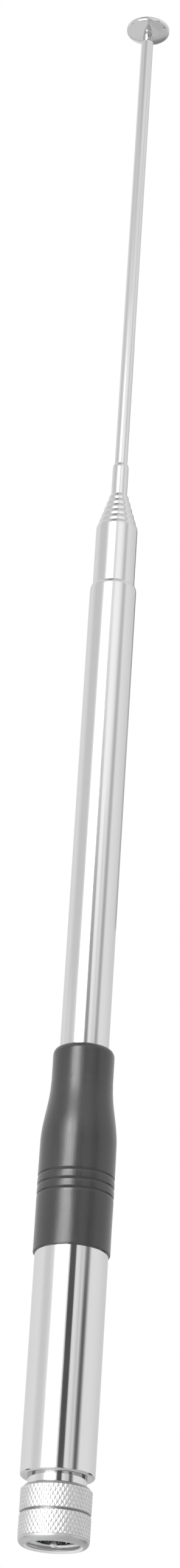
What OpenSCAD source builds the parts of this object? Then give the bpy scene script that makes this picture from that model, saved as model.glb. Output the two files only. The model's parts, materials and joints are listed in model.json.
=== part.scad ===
// Telescopic whip antenna: a threaded coaxial plug, a chromed barrel with a matching coil,
// a black shrink boot and a mast of eight sliding tubes and a solid tip rod.
// +Z runs from the plug to the tip. The origin is on the axis, in the plane of the nut's mouth.

/* [Coupling nut] */
// Major diameter of the coupling thread (7/16 inch)
thread_d = 11.1; // [9.6:0.1:13.4]
// Depth of the thread, taken off both sides of the major diameter
thread_depth = 0.45; // [0.3:0.05:0.5]
// Metal outside the thread, up to the knurl's crests
nut_wall = 1.3; // [1.1:0.1:1.7]
// Height of the nut
nut_h = 11.2; // [9.8:0.1:13.4]
// Height of the rounding at the nut's mouth
nut_mouth_round = 1.2; // [0.5:0.1:1.3]
// Height of the bevel at the nut's rear edge
nut_rear_bevel = 0.6; // [0.2:0.1:0.9]
// Height of the mid groove above the mouth
nut_groove_z = 5.8; // [3.5:0.1:6.5]
// Width and depth of the mid groove
nut_groove = 0.4; // [0.2:0.05:0.5]
// End play between the nut and its neighbours
nut_play = 0.2; // [0.1:0.05:0.4]

/* [Coaxial plug] */
// Room for the jack's rim between the outer contact and the thread
jack_room = 1.05; // [0.9:0.05:1.3]
// Wall of the outer contact
contact_wall = 0.6; // [0.4:0.05:0.7]
// Number of slots across the outer contact, each cutting both sides
contact_cuts = 2; // [1:1:4]
// Width of a slot in the outer contact
contact_slot_w = 0.4; // [0.2:0.05:0.6]
// How far the outer contact stands back from the nut's mouth
contact_recess = 1.2; // [0.4:0.1:1.5]
// Diameter of the centre pin
pin_d = 1.35; // [1:0.05:1.7]
// How far the centre pin's tip stands back from the nut's mouth
pin_recess = 0; // [0:0.1:2]
// Depth of the gasket's face below the nut's mouth
gasket_depth = 6.2; // [5.2:0.1:6.6]
// Thickness of the gasket
gasket_t = 1; // [0.6:0.1:1.2]
// Thickness of the flange that pulls the nut
flange_t = 1; // [0.8:0.1:1.2]
// Thickness of the thrust washer behind the flange
washer_t = 0.2; // [0.15:0.05:0.3]
// How far the flange stands out over the shank that the nut turns on
flange_step = 1; // [0.8:0.1:1.3]

/* [Barrel] */
// Wall of the insulator between the barrel and the mast
spigot_wall = 1.1; // [0.8:0.05:1.6]
// Wall of the barrel
barrel_wall = 1.2; // [0.8:0.1:1.4]
// Length of the barrel
barrel_h = 51.4; // [42.5:0.1:62]
// Radius of the barrel's lower edge
barrel_edge_r = 0.6; // [0.3:0.1:1.1]
// Height of the collar between the nut and the barrel
collar_h = 1.6; // [0.4:0.1:2]
// Diameter of the collar
collar_d = 11.4; // [10:0.1:12]
// Depth of the base plug inside the barrel
plug_depth = 7.7; // [7:0.1:9.5]

/* [Matching coil] */
// Outer diameter of the coil former
former_d = 6.8; // [5.5:0.1:7.2]
// How far the former's end stands on the base plug
former_seat = 0.4; // [0.3:0.1:1]
// Diameter of the coil wire
wire_d = 0.8; // [0.6:0.05:0.9]
// Number of turns
coil_turns = 6; // [3:1:8]
// Room between the winding and the piece at each of its ends
coil_room = 6.25; // [4.5:0.25:7]

/* [Shrink boot] */
// Length of the boot
boot_h = 42.1; // [40:0.1:50]
// Length of barrel that the boot covers
boot_lap = 7.7; // [5:0.1:9]
// Wall of the boot
boot_wall = 0.4; // [0.35:0.05:0.8]
// Thickness of boot and insulator together round the mast, at the boot's slim end
boot_neck_wall = 1.3; // [1.2:0.1:1.8]
// Height of the boot's shoulder, where it turns from wide to slim
shoulder_h = 12.6; // [8:0.1:15]
// Height of the slim end above the shoulder
neck_h = 7.2; // [4:0.1:8]
// Depth of the three rings pressed into the boot
ring_depth = 0.22; // [0.1:0.02:0.3]
// Height of the lowest ring above the boot's lower edge
ring_z = 11.2; // [9.6:0.1:12]
// Distance between the rings
ring_pitch = 1.9; // [1.5:0.1:2.4]

/* [Mast] */
// Outer diameter of the fixed section
section_1_d = 9.8; // [9.4:0.1:10.1]
// Step in diameter from the fixed section to section 2
first_step = 1; // [0.85:0.01:1.1]
// Step in diameter from each of sections 2 to 7 to the next
section_step = 0.9; // [0.85:0.01:0.92]
// Step in diameter from section 8 to the tip rod
last_step = 0.7; // [0.6:0.01:0.8]
// Wall of sections 1 to 7
tube_wall = 0.25; // [0.2:0.01:0.28]
// Wall of section 8
last_wall = 0.2; // [0.15:0.01:0.22]
// Length of the fixed section
section_1_h = 146.4; // [100:0.1:180]
// How much each section stands out of the one around it when the mast is closed
stack_rise = 1.5; // [0.8:0.1:2]
// Radial running clearance of every sliding fit
run_gap = 0.05; // [0.03:0.005:0.06]
// Length of each friction bush
bush_h = 12; // [8:0.5:16]

/* [Tip] */
// How far the rod's end steps in to the neck under the button
tip_neck_step = 0.3; // [0.1:0.05:0.5]
// Length of the neck under the button
tip_neck_h = 2.4; // [1:0.1:4]
// Diameter of the button
button_d = 9.7; // [6:0.1:11.4]
// Thickness of the button at its rim
button_t = 1.1; // [0.8:0.1:1.5]
// How far the button's underside bulges down towards the neck
button_dome = 1.1; // [0.4:0.1:1.6]

/* [Mast as drawn] */
// How far section 2 is drawn out
section_2_out = 13.1; // [0:0.1:100]
// How far section 8 is drawn out
section_8_out = 6.1; // [0:0.1:100]
// How much further the tip rod can be drawn out
tip_left = 25.3; // [0:0.1:110]

/* [Hidden] */
$fn = 96;

chrome = "#d9dadd";
brass = "#c9a961";
bronze = "#b98a5a";
silver = "#dddbd5";
white_plastic = "#f2f0ea";
black_plastic = "#2c2c2e";
rubber = "#3a3a3c";

eps = 0.01;
arc_steps = 10;
last = 8;       // number of the thinnest tube
tip = last + 1; // number that stands for the tip rod

// Coupling nut and plug, from the mouth upwards
nut_r = thread_d / 2 + nut_wall;
thread_minor_r = thread_d / 2 - thread_depth;
entry_r = thread_d / 2 + 0.1;
entry_h = entry_r - thread_minor_r;
relief_r = thread_d / 2 + 0.15;
thread_end_z = gasket_depth + 0.3;
flange_z = gasket_depth + gasket_t;
flange_r = thread_minor_r - 0.1;
washer_z = flange_z + flange_t;
shank_r = flange_r - flange_step;
web_z = washer_z + washer_t + nut_play / 2;
web_r = shank_r + run_gap;
washer_r = relief_r - 0.3;
contact_r = thread_minor_r - jack_room;
contact_bore_r = contact_r - contact_wall;
gasket_land = 0.25;  // how far the gasket's seat stands out over the contact
gasket_land_r = contact_r + gasket_land;
contact_tip_bevel = 0.2;
bead_h = 3.8;        // the insulator's wide end
bead_nose_r = 2;     // the insulator's slim end, around the pin
bead_nose_h = 7;
pin_taper = 0.4;     // length of the pin's tapered tip
cup_r = 0.9;         // solder cup at the pin's rear
cup_bore_r = 0.5;
cup_h = 3.5;
cup_depth = 2.5;

// Barrel
barrel_bore_r = section_1_d / 2 + spigot_wall;
barrel_r = barrel_bore_r + barrel_wall;
collar_z = nut_h + nut_play;
barrel_z = collar_z + collar_h;
barrel_top_z = barrel_z + barrel_h;
plug_top_z = barrel_z + plug_depth;
shank_h = 5;         // length of shank screwed into the base plug
shank_top_z = barrel_z + shank_h;
plug_bore_r = former_d / 2 - former_seat;
seal_r = 0.6;        // section of the sealing ring
seal_z = barrel_z + 3.2;
seal_groove_h = 1.4;
seal_groove_r = barrel_bore_r - 2 * seal_r - 0.1;
pin_rear_z = plug_top_z + 1;

// Boot, and the insulator whose outline it follows
boot_z = barrel_top_z - boot_lap;
boot_top_z = boot_z + boot_h;
boot_r = barrel_r + boot_wall;
boot_neck_r = section_1_d / 2 + boot_neck_wall;
neck_z = boot_top_z - neck_h;
shoulder_z = neck_z - shoulder_h;
boot_edge_r = 1.1;
boot_edge_h = 1.5;
ring_w = 0.7;
rings = 3;
shoulder_steps = 10;
cap_t = 1.4;         // thickness of the boot's closed-in top

// Mast foot
spigot_h = 14;       // length of insulator inside the barrel
spigot_z = barrel_top_z - spigot_h;
mast_z = boot_z - 0.3;
stud_r = 1.5;
stud_h = 3;          // length of stud below the insulator
stud_hole_r = 0.5;
stud_hole_h = 2;
mast_plug_h = 5;
cushion_t = 0.8;
stow_gap = 0.3;      // room under the sliding sections when closed
pin_hole_r = 0.6;
lock_pin_h = 2;
lock_pin_z = mast_z + 4;

// Coil
wire_r = wire_d / 2;
former_bore_r = stud_r + 0.1;
coil_r = former_d / 2 + wire_r + 0.2;
coil_z = plug_top_z + coil_room;
coil_h = spigot_z - coil_room - coil_z;
turn_steps = 12;
wire_sides = 8;
lead_bend = 0.7;

// Sliding sections
lip_h = 1.4;         // length of each rolled-in lip
lip_edge_r = 0.35;    // the lip's rounding tapers in over a longer height
lip_edge_h = 1.1;
lip_land = 0.05;      // flat that is left at the lip's end
foot_h = 0.6;        // height of the swaged foot below each bush
slit_angle = 70;     // gap in each bush that holds its spring
spring_angle = 50;
spring_margin = 1;   // distance from the spring's ends to the bush's ends
section_1_top = mast_z + section_1_h;
stow_z = mast_z + mast_plug_h + cushion_t + stow_gap;
button_edge = 0.35;
dome_steps = 10;
neck_round = 0.5;
neck_r = outer_r(tip) - tip_neck_step;

// Outer radius of section k, and of the tip rod where k is tip
function outer_r(k) = k == 1 ? section_1_d / 2
    : outer_r(k - 1) - (k == 2 ? first_step : k == tip ? last_step : section_step) / 2;
function wall(k) = k == last ? last_wall : tube_wall;
function bore_r(k) = outer_r(k) - wall(k);
// Radius of the bush and foot of section k, running in the section around it
function bush_r(k) = bore_r(k - 1) - run_gap;
// Inner radius of the lip of section k, running on the section inside it
function lip_r(k) = outer_r(k + 1) + run_gap;
// How far section k slides from its stowed place until its bush meets the lip around it
function travel(k) =
    section_1_top + stack_rise * (k - 2) - lip_h - bush_h - stow_z - stow_gap;
function drawn(k) = k == 2 ? section_2_out : k == last ? section_8_out : k == tip ? travel(tip) - tip_left : 0;
// How far section k stands above its stowed place, with every section around it
function lift(k) = k < 2 ? 0 : drawn(k) + lift(k - 1);
function foot_z(k) = stow_z + lift(k);
function top_z(k) = section_1_top + stack_rise * (k - 1) + lift(k);
button_z = top_z(last) + stow_gap + drawn(tip) + button_dome;

// Points of a rounding from angle a to angle b about a centre, r wide and h high
function arc(c, r, h, a, b) =
    [for (i = [0:arc_steps])
        let (t = a + (b - a) * i / arc_steps) c + [r * cos(t), h * sin(t)]];
// Points of the smooth shoulder between two radii
function shoulder(r0, r1, z, h) =
    [for (i = [0:shoulder_steps])
        let (t = i / shoulder_steps) [r0 + (r1 - r0) * (1 - cos(180 * t)) / 2, z + h * t]];
// Points of the ring grooves on a wall of radius r, from the lowest up
function ring_points(r) =
    [for (i = [0:rings - 1])
        let (z = boot_z + ring_z + i * ring_pitch)
        each [[r, z - ring_w / 2], [r - ring_depth, z - ring_w / 6],
              [r - ring_depth, z + ring_w / 6], [r, z + ring_w / 2]]];

module turned(points) {
    rotate_extrude() polygon(points);
}

module ring(r_out, r_in, z, h) {
    translate([0, 0, z]) difference() {
        cylinder(r = r_out, h = h);
        translate([0, 0, -eps]) cylinder(r = r_in, h = h + 2 * eps);
    }
}

// Knurled nut that turns freely on the plug's shank
module coupling_nut() {
    groove_top = nut_groove_z + nut_groove;
    color(chrome) turned(concat(
        [[entry_r, 0]],
        arc([nut_r - nut_mouth_round, nut_mouth_round], nut_mouth_round, nut_mouth_round, -60, 0),
        [[nut_r, nut_groove_z], [nut_r - nut_groove, nut_groove_z + nut_groove / 4],
         [nut_r - nut_groove, groove_top - nut_groove / 4], [nut_r, groove_top],
         [nut_r, nut_h - nut_rear_bevel], [nut_r - nut_rear_bevel, nut_h],
         [web_r, nut_h], [web_r, web_z], [relief_r, web_z], [relief_r, thread_end_z],
         [thread_minor_r, thread_end_z], [thread_minor_r, entry_h]]));
}

// Plug body: slotted outer contact, flange and the shank screwed into the base plug
module connector_body() {
    color(chrome) difference() {
        turned([
            [contact_bore_r, contact_recess], [contact_r - contact_tip_bevel, contact_recess],
            [contact_r, contact_recess + contact_tip_bevel], [contact_r, gasket_depth],
            [gasket_land_r, gasket_depth], [gasket_land_r, flange_z],
            [flange_r, flange_z], [flange_r, washer_z], [shank_r, washer_z],
            [shank_r, shank_top_z], [bead_nose_r, shank_top_z],
            [bead_nose_r, gasket_depth + bead_h], [contact_bore_r, gasket_depth + bead_h]]);
        for (i = [0:contact_cuts - 1])
            rotate([0, 0, 45 + i * 180 / contact_cuts])
                translate([-thread_d, -contact_slot_w / 2, 0])
                    cube([2 * thread_d, contact_slot_w, gasket_depth - 1]);
    }
}

// Centre pin with a tapered tip and a solder cup at its rear
module centre_pin() {
    pin_r = pin_d / 2;
    color(silver) difference() {
        turned([
            [0, pin_recess], [pin_r / 2, pin_recess], [pin_r, pin_recess + pin_taper],
            [pin_r, pin_rear_z - cup_h], [cup_r, pin_rear_z - cup_h],
            [cup_r, pin_rear_z], [0, pin_rear_z]]);
        translate([0, 0, pin_rear_z - cup_depth]) cylinder(r = cup_bore_r, h = cup_h);
    }
}

// PTFE bead that holds the pin on the plug's axis
module pin_insulator() {
    color(white_plastic) difference() {
        turned([
            [0, gasket_depth], [contact_bore_r, gasket_depth],
            [contact_bore_r, gasket_depth + bead_h], [bead_nose_r, gasket_depth + bead_h],
            [bead_nose_r, pin_rear_z - cup_h], [0, pin_rear_z - cup_h]]);
        translate([0, 0, gasket_depth - eps]) cylinder(d = pin_d, h = pin_rear_z);
    }
}

// Gasket that the mating jack's rim closes on
module jack_gasket() {
    color(rubber) ring(flange_r, gasket_land_r, gasket_depth, gasket_t);
}

// Washer between the flange and the nut's web
module thrust_washer() {
    color(brass) ring(washer_r, shank_r, washer_z, washer_t);
}

// Plug that closes the barrel's foot, with a narrow collar below the barrel
module base_plug() {
    color(chrome) turned([
        [shank_r, collar_z], [collar_d / 2, collar_z], [collar_d / 2, barrel_z],
        [barrel_bore_r, barrel_z], [barrel_bore_r, seal_z - seal_groove_h / 2],
        [seal_groove_r, seal_z - seal_groove_h / 2], [seal_groove_r, seal_z + seal_groove_h / 2],
        [barrel_bore_r, seal_z + seal_groove_h / 2], [barrel_bore_r, plug_top_z],
        [plug_bore_r, plug_top_z], [plug_bore_r, shank_top_z], [shank_r, shank_top_z]]);
}

// Sealing ring in the base plug's groove
module seal_ring() {
    color(rubber) translate([0, 0, seal_z]) rotate_extrude()
        translate([barrel_bore_r - seal_r - eps, 0]) circle(r = seal_r, $fn = 32);
}

module lock_pin_at(angle, r, length) {
    rotate([0, 0, angle]) translate([barrel_r - eps - lock_pin_h, 0, lock_pin_z])
        rotate([0, 90, 0]) cylinder(r = r, h = length);
}

// Chromed tube around the matching coil
module base_barrel() {
    color(chrome) difference() {
        turned(concat(
            [[barrel_bore_r, barrel_z]],
            arc([barrel_r - barrel_edge_r, barrel_z + barrel_edge_r],
                barrel_edge_r, barrel_edge_r, -90, 0),
            [[barrel_r, barrel_top_z], [barrel_bore_r, barrel_top_z]]));
        for (a = [0, 180]) lock_pin_at(a, pin_hole_r, lock_pin_h + 1);
    }
}

// Insulating tube that carries the coil, drilled for its two leads
module coil_former() {
    color(white_plastic) difference() {
        ring(former_d / 2, former_bore_r, plug_top_z, spigot_z - plug_top_z);
        for (z = [coil_z, coil_z + coil_h])
            translate([0, 0, z]) rotate([0, 90, 0]) cylinder(d = 2 * wire_d, h = former_d);
    }
}

// Centre line of the coil: up from the pin, out through the former, round, and back in to the stud
function unit(v) = v / norm(v);
coil_path = concat(
    [[0, 0, pin_rear_z - cup_depth / 2], [0, 0, coil_z - lead_bend], [lead_bend, 0, coil_z],
     [coil_r - lead_bend, 0, coil_z]],
    [for (i = [0:coil_turns * turn_steps])
        let (a = 360 * i / turn_steps, t = i / (coil_turns * turn_steps))
        [coil_r * cos(a), coil_r * sin(a), coil_z + coil_h * t]],
    [[coil_r - lead_bend, 0, coil_z + coil_h], [lead_bend, 0, coil_z + coil_h],
     [0, 0, coil_z + coil_h + lead_bend], [0, 0, spigot_z - stud_h + stud_hole_h / 2]]);
path_end = len(coil_path) - 1;
function heading(i) =
    unit(coil_path[min(i + 1, path_end)] - coil_path[max(i - 1, 0)]);
// Side vectors carried along the path without twist
function sides(i, v, done = []) =
    let (t = heading(i), s = unit(v - (v * t) * t))
    i == path_end ? concat(done, [s]) : sides(i + 1, s, concat(done, [s]));

// Silver-plated matching coil with its two leads
module matching_coil() {
    side = sides(0, [0, 1, 0]);
    rim = [for (i = [0:path_end], j = [0:wire_sides - 1])
        let (a = 360 * j / wire_sides)
        coil_path[i] + wire_r * (cos(a) * side[i] + sin(a) * cross(heading(i), side[i]))];
    walls = [for (i = [0:path_end - 1], j = [0:wire_sides - 1])
        let (n = (j + 1) % wire_sides, p = i * wire_sides, q = p + wire_sides)
        each [[p + j, q + j, q + n], [p + j, q + n, p + n]]];
    first = [for (j = [0:wire_sides - 1]) j];
    end = [for (j = [wire_sides - 1:-1:0]) path_end * wire_sides + j];
    color(silver) polyhedron(points = rim, faces = concat(walls, [first, end]));
}

// Outline shared by the insulator and the boot's inside, above the barrel
function insulator_outline() = concat(
    [[barrel_r, barrel_top_z]],
    ring_points(barrel_r),
    shoulder(barrel_r, boot_neck_r - boot_wall, shoulder_z, shoulder_h),
    [[boot_neck_r - boot_wall, boot_top_z - cap_t]]);

// Insulator that carries the mast in the barrel
module mast_insulator() {
    color(black_plastic) difference() {
        turned(concat(
            [[stud_r, spigot_z], [barrel_bore_r, spigot_z], [barrel_bore_r, barrel_top_z]],
            insulator_outline(),
            [[section_1_d / 2, boot_top_z - cap_t], [section_1_d / 2, mast_z], [stud_r, mast_z]]));
        for (a = [0, 180]) lock_pin_at(a, pin_hole_r, lock_pin_h);
    }
}

// Two pins that lock the insulator to the barrel, under the boot
module insulator_pins() {
    color(chrome) for (a = [0, 180]) lock_pin_at(a, pin_hole_r, lock_pin_h - eps);
}

// Brass plug in the foot of the fixed section, with the stud that the coil is soldered to
module mast_plug() {
    color(brass) difference() {
        union() {
            translate([0, 0, mast_z]) cylinder(r = bore_r(1), h = mast_plug_h);
            translate([0, 0, spigot_z - stud_h])
                cylinder(r = stud_r, h = mast_z - spigot_z + stud_h + eps);
        }
        translate([0, 0, spigot_z - stud_h - eps]) cylinder(r = stud_hole_r, h = stud_hole_h);
    }
}

// Rubber disc that the closing sections land on
module mast_cushion() {
    color(rubber) translate([0, 0, mast_z + mast_plug_h])
        cylinder(r = bore_r(1) - run_gap, h = cushion_t);
}

// Black shrink sleeve over the joint of barrel and mast
module shrink_boot() {
    outside = concat(
        [[boot_r, boot_z]],
        ring_points(boot_r),
        shoulder(boot_r, boot_neck_r, shoulder_z, shoulder_h),
        arc([boot_neck_r - boot_edge_r, boot_top_z - boot_edge_h], boot_edge_r, boot_edge_h, 0, 90));
    inside = concat([[barrel_r, boot_z]], insulator_outline());
    color(black_plastic) turned(concat(
        outside,
        [[section_1_d / 2, boot_top_z], [section_1_d / 2, boot_top_z - cap_t]],
        [for (i = [len(inside) - 1:-1:0]) inside[i]]));
}

// Tube with a rolled-in lip at its top, and a swaged foot where it slides
module tube(k, z, top, foot) {
    r = outer_r(k);
    lip_z = top - lip_h;
    edge_r = min(lip_edge_r, r - lip_r(k) - lip_land);
    color(chrome) turned(concat(
        foot ? [[bush_r(k), z], [bush_r(k), z + foot_h / 2], [r, z + foot_h]] : [[r, z]],
        arc([r - edge_r, top - lip_edge_h], edge_r, lip_edge_h, 0, 90),
        [[lip_r(k), top], [lip_r(k), lip_z], [bore_r(k), lip_z], [bore_r(k), z]]));
}

// Fixed section, seated in the insulator
module section_1_tube() {
    tube(1, mast_z, section_1_top, false);
}

module section_tube(k) {
    tube(k, foot_z(k), top_z(k), true);
}

// Split brass bush around the foot of section k
module section_bush(k) {
    color(brass) translate([0, 0, foot_z(k) + foot_h]) rotate([0, 0, slit_angle / 2])
        rotate_extrude(angle = 360 - slit_angle)
            translate([outer_r(k), 0]) square([bush_r(k) - outer_r(k), bush_h - foot_h]);
}

// Bowed bronze spring in the slit of the bush of section k
module section_spring(k) {
    gap = bush_r(k) - outer_r(k);
    h = bush_h - foot_h - 2 * spring_margin;
    t = gap / 2;
    color(bronze) translate([0, 0, foot_z(k) + foot_h + spring_margin])
        rotate([0, 0, -spring_angle / 2]) rotate_extrude(angle = spring_angle)
            translate([outer_r(k), 0]) polygon([
                [0, 0], [t, 0], [gap, h / 3], [gap, 2 * h / 3], [t, h], [0, h],
                [gap - t, 2 * h / 3], [gap - t, h / 3]]);
}

// Solid rod that carries the button
module tip_rod() {
    r = outer_r(tip);
    shoulder_top = button_z - tip_neck_h;
    color(chrome) turned(concat(
        [[0, foot_z(tip)], [bush_r(tip), foot_z(tip)], [bush_r(tip), foot_z(tip) + foot_h / 2],
         [r, foot_z(tip) + foot_h]],
        arc([r - neck_round, shoulder_top - neck_round], neck_round, neck_round, 0, 50),
        [[neck_r, shoulder_top], [neck_r, button_z + button_t], [0, button_z + button_t]]));
}

// Disc that is pushed to close the mast
module tip_button() {
    r = button_d / 2;
    flat_r = r - button_edge;
    color(chrome) turned(concat(
        [for (i = [0:dome_steps - 1])
            let (x = neck_r + (flat_r - neck_r) * i / dome_steps)
            [x, button_z - button_dome * (1 - pow(x / flat_r, 2))]],
        arc([flat_r, button_z + button_edge], button_edge, button_edge, -90, 0),
        arc([flat_r, button_z + button_t - button_edge], button_edge, button_edge, 0, 90),
        [[neck_r, button_z + button_t]]));
}

coupling_nut();
connector_body();
centre_pin();
pin_insulator();
jack_gasket();
thrust_washer();
base_plug();
seal_ring();
base_barrel();
coil_former();
matching_coil();
mast_insulator();
insulator_pins();
mast_plug();
mast_cushion();
shrink_boot();
section_1_tube();
section_tube(2);  // section_2_tube
section_bush(2);  // section_2_bush
section_spring(2);  // section_2_spring
section_tube(3);  // section_3_tube
section_bush(3);  // section_3_bush
section_spring(3);  // section_3_spring
section_tube(4);  // section_4_tube
section_bush(4);  // section_4_bush
section_spring(4);  // section_4_spring
section_tube(5);  // section_5_tube
section_bush(5);  // section_5_bush
section_spring(5);  // section_5_spring
section_tube(6);  // section_6_tube
section_bush(6);  // section_6_bush
section_spring(6);  // section_6_spring
section_tube(7);  // section_7_tube
section_bush(7);  // section_7_bush
section_spring(7);  // section_7_spring
section_tube(8);  // section_8_tube
section_bush(8);  // section_8_bush
section_spring(8);  // section_8_spring
tip_rod();
section_bush(tip);  // tip_bush
section_spring(tip);  // tip_spring
tip_button();
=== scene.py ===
"""Looks of a telescopic whip antenna: knurled coax plug, chromed barrel, black shrink boot and mast.

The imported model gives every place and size. Lengths are in metres unless a name says otherwise, +Z runs
from the plug to the tip, and the axis of every turned piece is the Z axis.
"""

import json
import logging
import math
from dataclasses import dataclass
from enum import Enum

import bpy
from mathutils import Matrix, Vector, noise


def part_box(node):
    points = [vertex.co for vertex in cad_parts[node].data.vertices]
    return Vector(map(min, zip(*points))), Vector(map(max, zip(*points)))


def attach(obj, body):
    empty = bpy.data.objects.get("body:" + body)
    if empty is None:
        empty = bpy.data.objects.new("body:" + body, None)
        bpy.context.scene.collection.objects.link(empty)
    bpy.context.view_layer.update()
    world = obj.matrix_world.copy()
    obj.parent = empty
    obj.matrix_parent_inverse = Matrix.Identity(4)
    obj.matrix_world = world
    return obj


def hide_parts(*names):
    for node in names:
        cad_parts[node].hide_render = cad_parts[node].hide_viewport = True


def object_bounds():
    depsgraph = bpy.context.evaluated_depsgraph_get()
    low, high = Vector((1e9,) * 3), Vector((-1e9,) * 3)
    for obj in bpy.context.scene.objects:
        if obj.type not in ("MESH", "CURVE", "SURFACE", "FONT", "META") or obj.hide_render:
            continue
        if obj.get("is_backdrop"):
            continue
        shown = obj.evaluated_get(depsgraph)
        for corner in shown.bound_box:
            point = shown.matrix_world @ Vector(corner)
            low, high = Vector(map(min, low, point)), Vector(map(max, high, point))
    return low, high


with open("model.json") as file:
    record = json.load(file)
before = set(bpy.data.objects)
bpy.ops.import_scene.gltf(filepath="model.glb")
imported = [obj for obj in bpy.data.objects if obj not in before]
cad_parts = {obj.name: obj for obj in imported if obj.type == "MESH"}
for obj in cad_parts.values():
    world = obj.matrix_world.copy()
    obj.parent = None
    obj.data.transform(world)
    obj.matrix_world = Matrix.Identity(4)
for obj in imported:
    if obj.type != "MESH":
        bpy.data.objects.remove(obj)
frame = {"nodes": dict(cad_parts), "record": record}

log = logging.getLogger("whip_antenna")
MM = 0.001
BLACK, WHITE = (0, 0, 0, 1), (1, 1, 1, 1)

Socket = bpy.types.NodeSocket
Colour = tuple[float, float, float]


# ------------------------------------------------------------------------------------------ finishes


class Slot(Enum):
    """The record's material slots."""

    CHROME = "chrome"
    CHROMED_NUT = "chromed_nut"
    BLACK_SHRINK = "black_shrink"
    BLACK_ACETAL = "black_acetal"
    PTFE = "ptfe"
    BRASS = "brass"
    BRONZE = "bronze"
    SILVERED_PIN = "silvered_pin"
    SILVERED_COPPER = "silvered_copper"
    STEEL = "steel"
    GREY_RUBBER = "grey_rubber"


def grey(level: float) -> Colour:
    """A neutral colour of one level."""
    return (level, level, level)


def shade(colour: Colour, factor: float) -> Colour:
    """A colour made darker or lighter by a factor."""
    return tuple(min(1.0, c * factor) for c in colour)


class ShaderSketch:
    """One material's node tree, built from its surface point to its shader."""

    def __init__(self, name: str, **uniform: object) -> None:
        """Start a material.

        Args:
            name: the material's name.
            uniform: values that are the same all over the surface, by shader socket, with _ for a space.
        """
        self.material = bpy.data.materials.new(name)
        self.material.use_nodes = True
        self.tree = self.material.node_tree
        self.shader = next(n for n in self.tree.nodes if n.type == "BSDF_PRINCIPLED")
        for socket, value in uniform.items():
            self.shader.inputs[socket.replace("_", " ")].default_value = value

    def node(self, kind: str, links: dict[str | int, object] | None = None,
             **settings: object) -> bpy.types.Node:
        """Add one node.

        Args:
            kind: the node's type, without its ShaderNode prefix.
            links: sockets or plain values for its inputs, by input name or number.
            settings: the node's own properties.

        Returns:
            The new node.
        """
        made = self.tree.nodes.new("ShaderNode" + kind)
        for key, value in settings.items():
            setattr(made, key, value)
        for key, value in (links or {}).items():
            if isinstance(value, Socket):
                self.tree.links.new(value, made.inputs[key])
            else:
                made.inputs[key].default_value = value
        return made

    def point(self, stretch: tuple[float, float, float] = (1, 1, 1)) -> Socket:
        """The surface point in the piece's own frame, as a vector socket, scaled along X, Y and Z."""
        place = self.node("TexCoord").outputs["Object"]
        return self.node("Mapping", {"Vector": place, "Scale": stretch}).outputs["Vector"]

    def noise(self, point: Socket, scale: float, detail: float = 3) -> Socket:
        """Noise of 0 to 1 at a point, with scale cells to the metre and detail octaves."""
        made = self.node("TexNoise", {"Vector": point, "Scale": scale, "Detail": detail, "Roughness": 0.6})
        return made.outputs["Fac"]

    def spread(self, value: Socket, low: float, high: float, start: float = 0.3, end: float = 0.7) -> Socket:
        """Map a value's range to another.

        Args:
            value: the value.
            low: result at start and below.
            high: result at end and above.
            start: where the value's range begins.
            end: where it ends.

        Returns:
            A value socket.
        """
        made = self.node("MapRange", {"Value": value, "From Min": start, "From Max": end, "To Min": low,
                                      "To Max": high}, clamp=True)
        return made.outputs["Result"]

    def blend(self, factor: Socket, low: Colour | Socket, high: Colour | Socket) -> Socket:
        """Mix two colours.

        Args:
            factor: 0 for the first colour, 1 for the second.
            low: the first colour, as three numbers or a socket.
            high: the second colour, likewise.

        Returns:
            A colour socket.
        """
        made = self.node("Mix", data_type="RGBA")
        self.tree.links.new(factor, made.inputs["Factor"])
        for socket, value in zip([s for s in made.inputs if s.type == "RGBA"], (low, high), strict=True):
            if isinstance(value, Socket):
                self.tree.links.new(value, socket)
            else:
                socket.default_value = (*value, 1)
        return next(s for s in made.outputs if s.type == "RGBA")

    def math(self, operation: str, a: Socket | float, b: Socket | float = 0.0) -> Socket:
        """One step of arithmetic on sockets or numbers, as a value socket."""
        return self.node("Math", {0: a, 1: b}, operation=operation).outputs[0]

    def axis_distance(self) -> Socket:
        """The surface point's distance from the Z axis, as a value socket."""
        flat = self.point((1, 1, 0))
        return self.node("VectorMath", {0: flat}, operation="LENGTH").outputs["Value"]

    def height(self) -> Socket:
        """The surface point's height, as a value socket."""
        return self.node("SeparateXYZ", {"Vector": self.point()}).outputs["Z"]

    def tool_rings(self, pitch: float) -> Socket:
        """A lathe tool's rings at a pitch along the axis, as a wave of -1 to 1."""
        return self.math("SINE", self.math("MULTIPLY", self.height(), 2 * math.pi / pitch))

    def bump(self, height: Socket, depth: float, over: Socket | None = None) -> Socket:
        """Relief from a height of 0 to 1.

        Args:
            height: the relief.
            depth: its depth.
            over: the normal of a coarser relief under it.

        Returns:
            A normal socket.
        """
        links = {"Height": height, "Distance": depth, "Strength": 1.0}
        if over is not None:
            links["Normal"] = over
        return self.node("Bump", links).outputs["Normal"]

    def feed(self, socket: str, value: Socket) -> None:
        """Link a value to the shader's socket of that name."""
        self.tree.links.new(value, self.shader.inputs[socket])


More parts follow.
